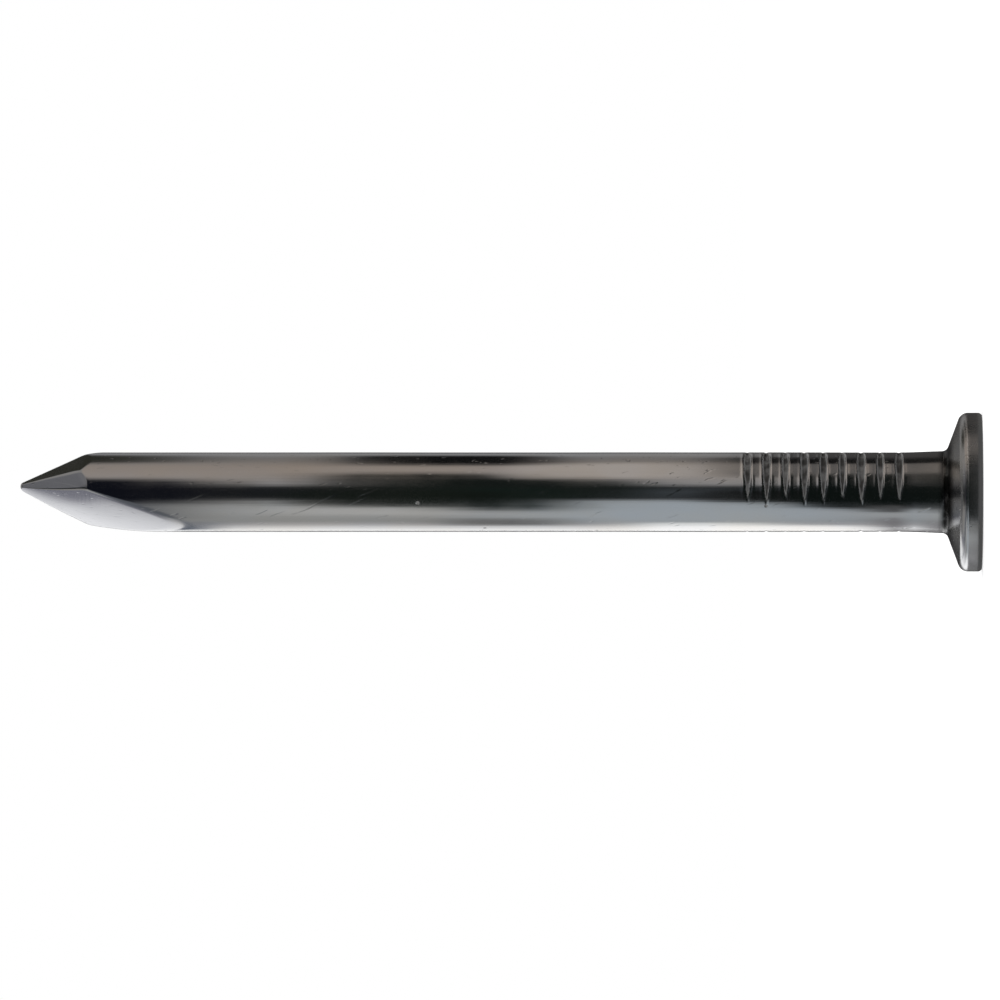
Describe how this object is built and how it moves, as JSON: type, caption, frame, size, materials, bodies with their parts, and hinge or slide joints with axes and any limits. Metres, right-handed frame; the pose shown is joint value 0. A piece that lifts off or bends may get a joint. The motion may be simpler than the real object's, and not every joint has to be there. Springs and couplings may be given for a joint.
{
  "type": "concrete nail",
  "caption": "Round hardened steel nail with a flat head, gripper marks under it, a smooth shank and a pinched flat-sided point.",
  "frame": {"origin": "centre of the head's struck face, on which the nail stands", "axes": "+Z along the shank towards the point; -X towards the long flat of the point; -Y towards the side that the picture shows"},
  "size_m": [0.0084, 0.0084, 0.0508],
  "materials": {
    "steel": "hardened steel wire, tumbled to a bright polish, with dark residue in the marks and the neck"
  },
  "bodies": {
    "root": {"nail": "steel"}
  },
  "joints": []
}
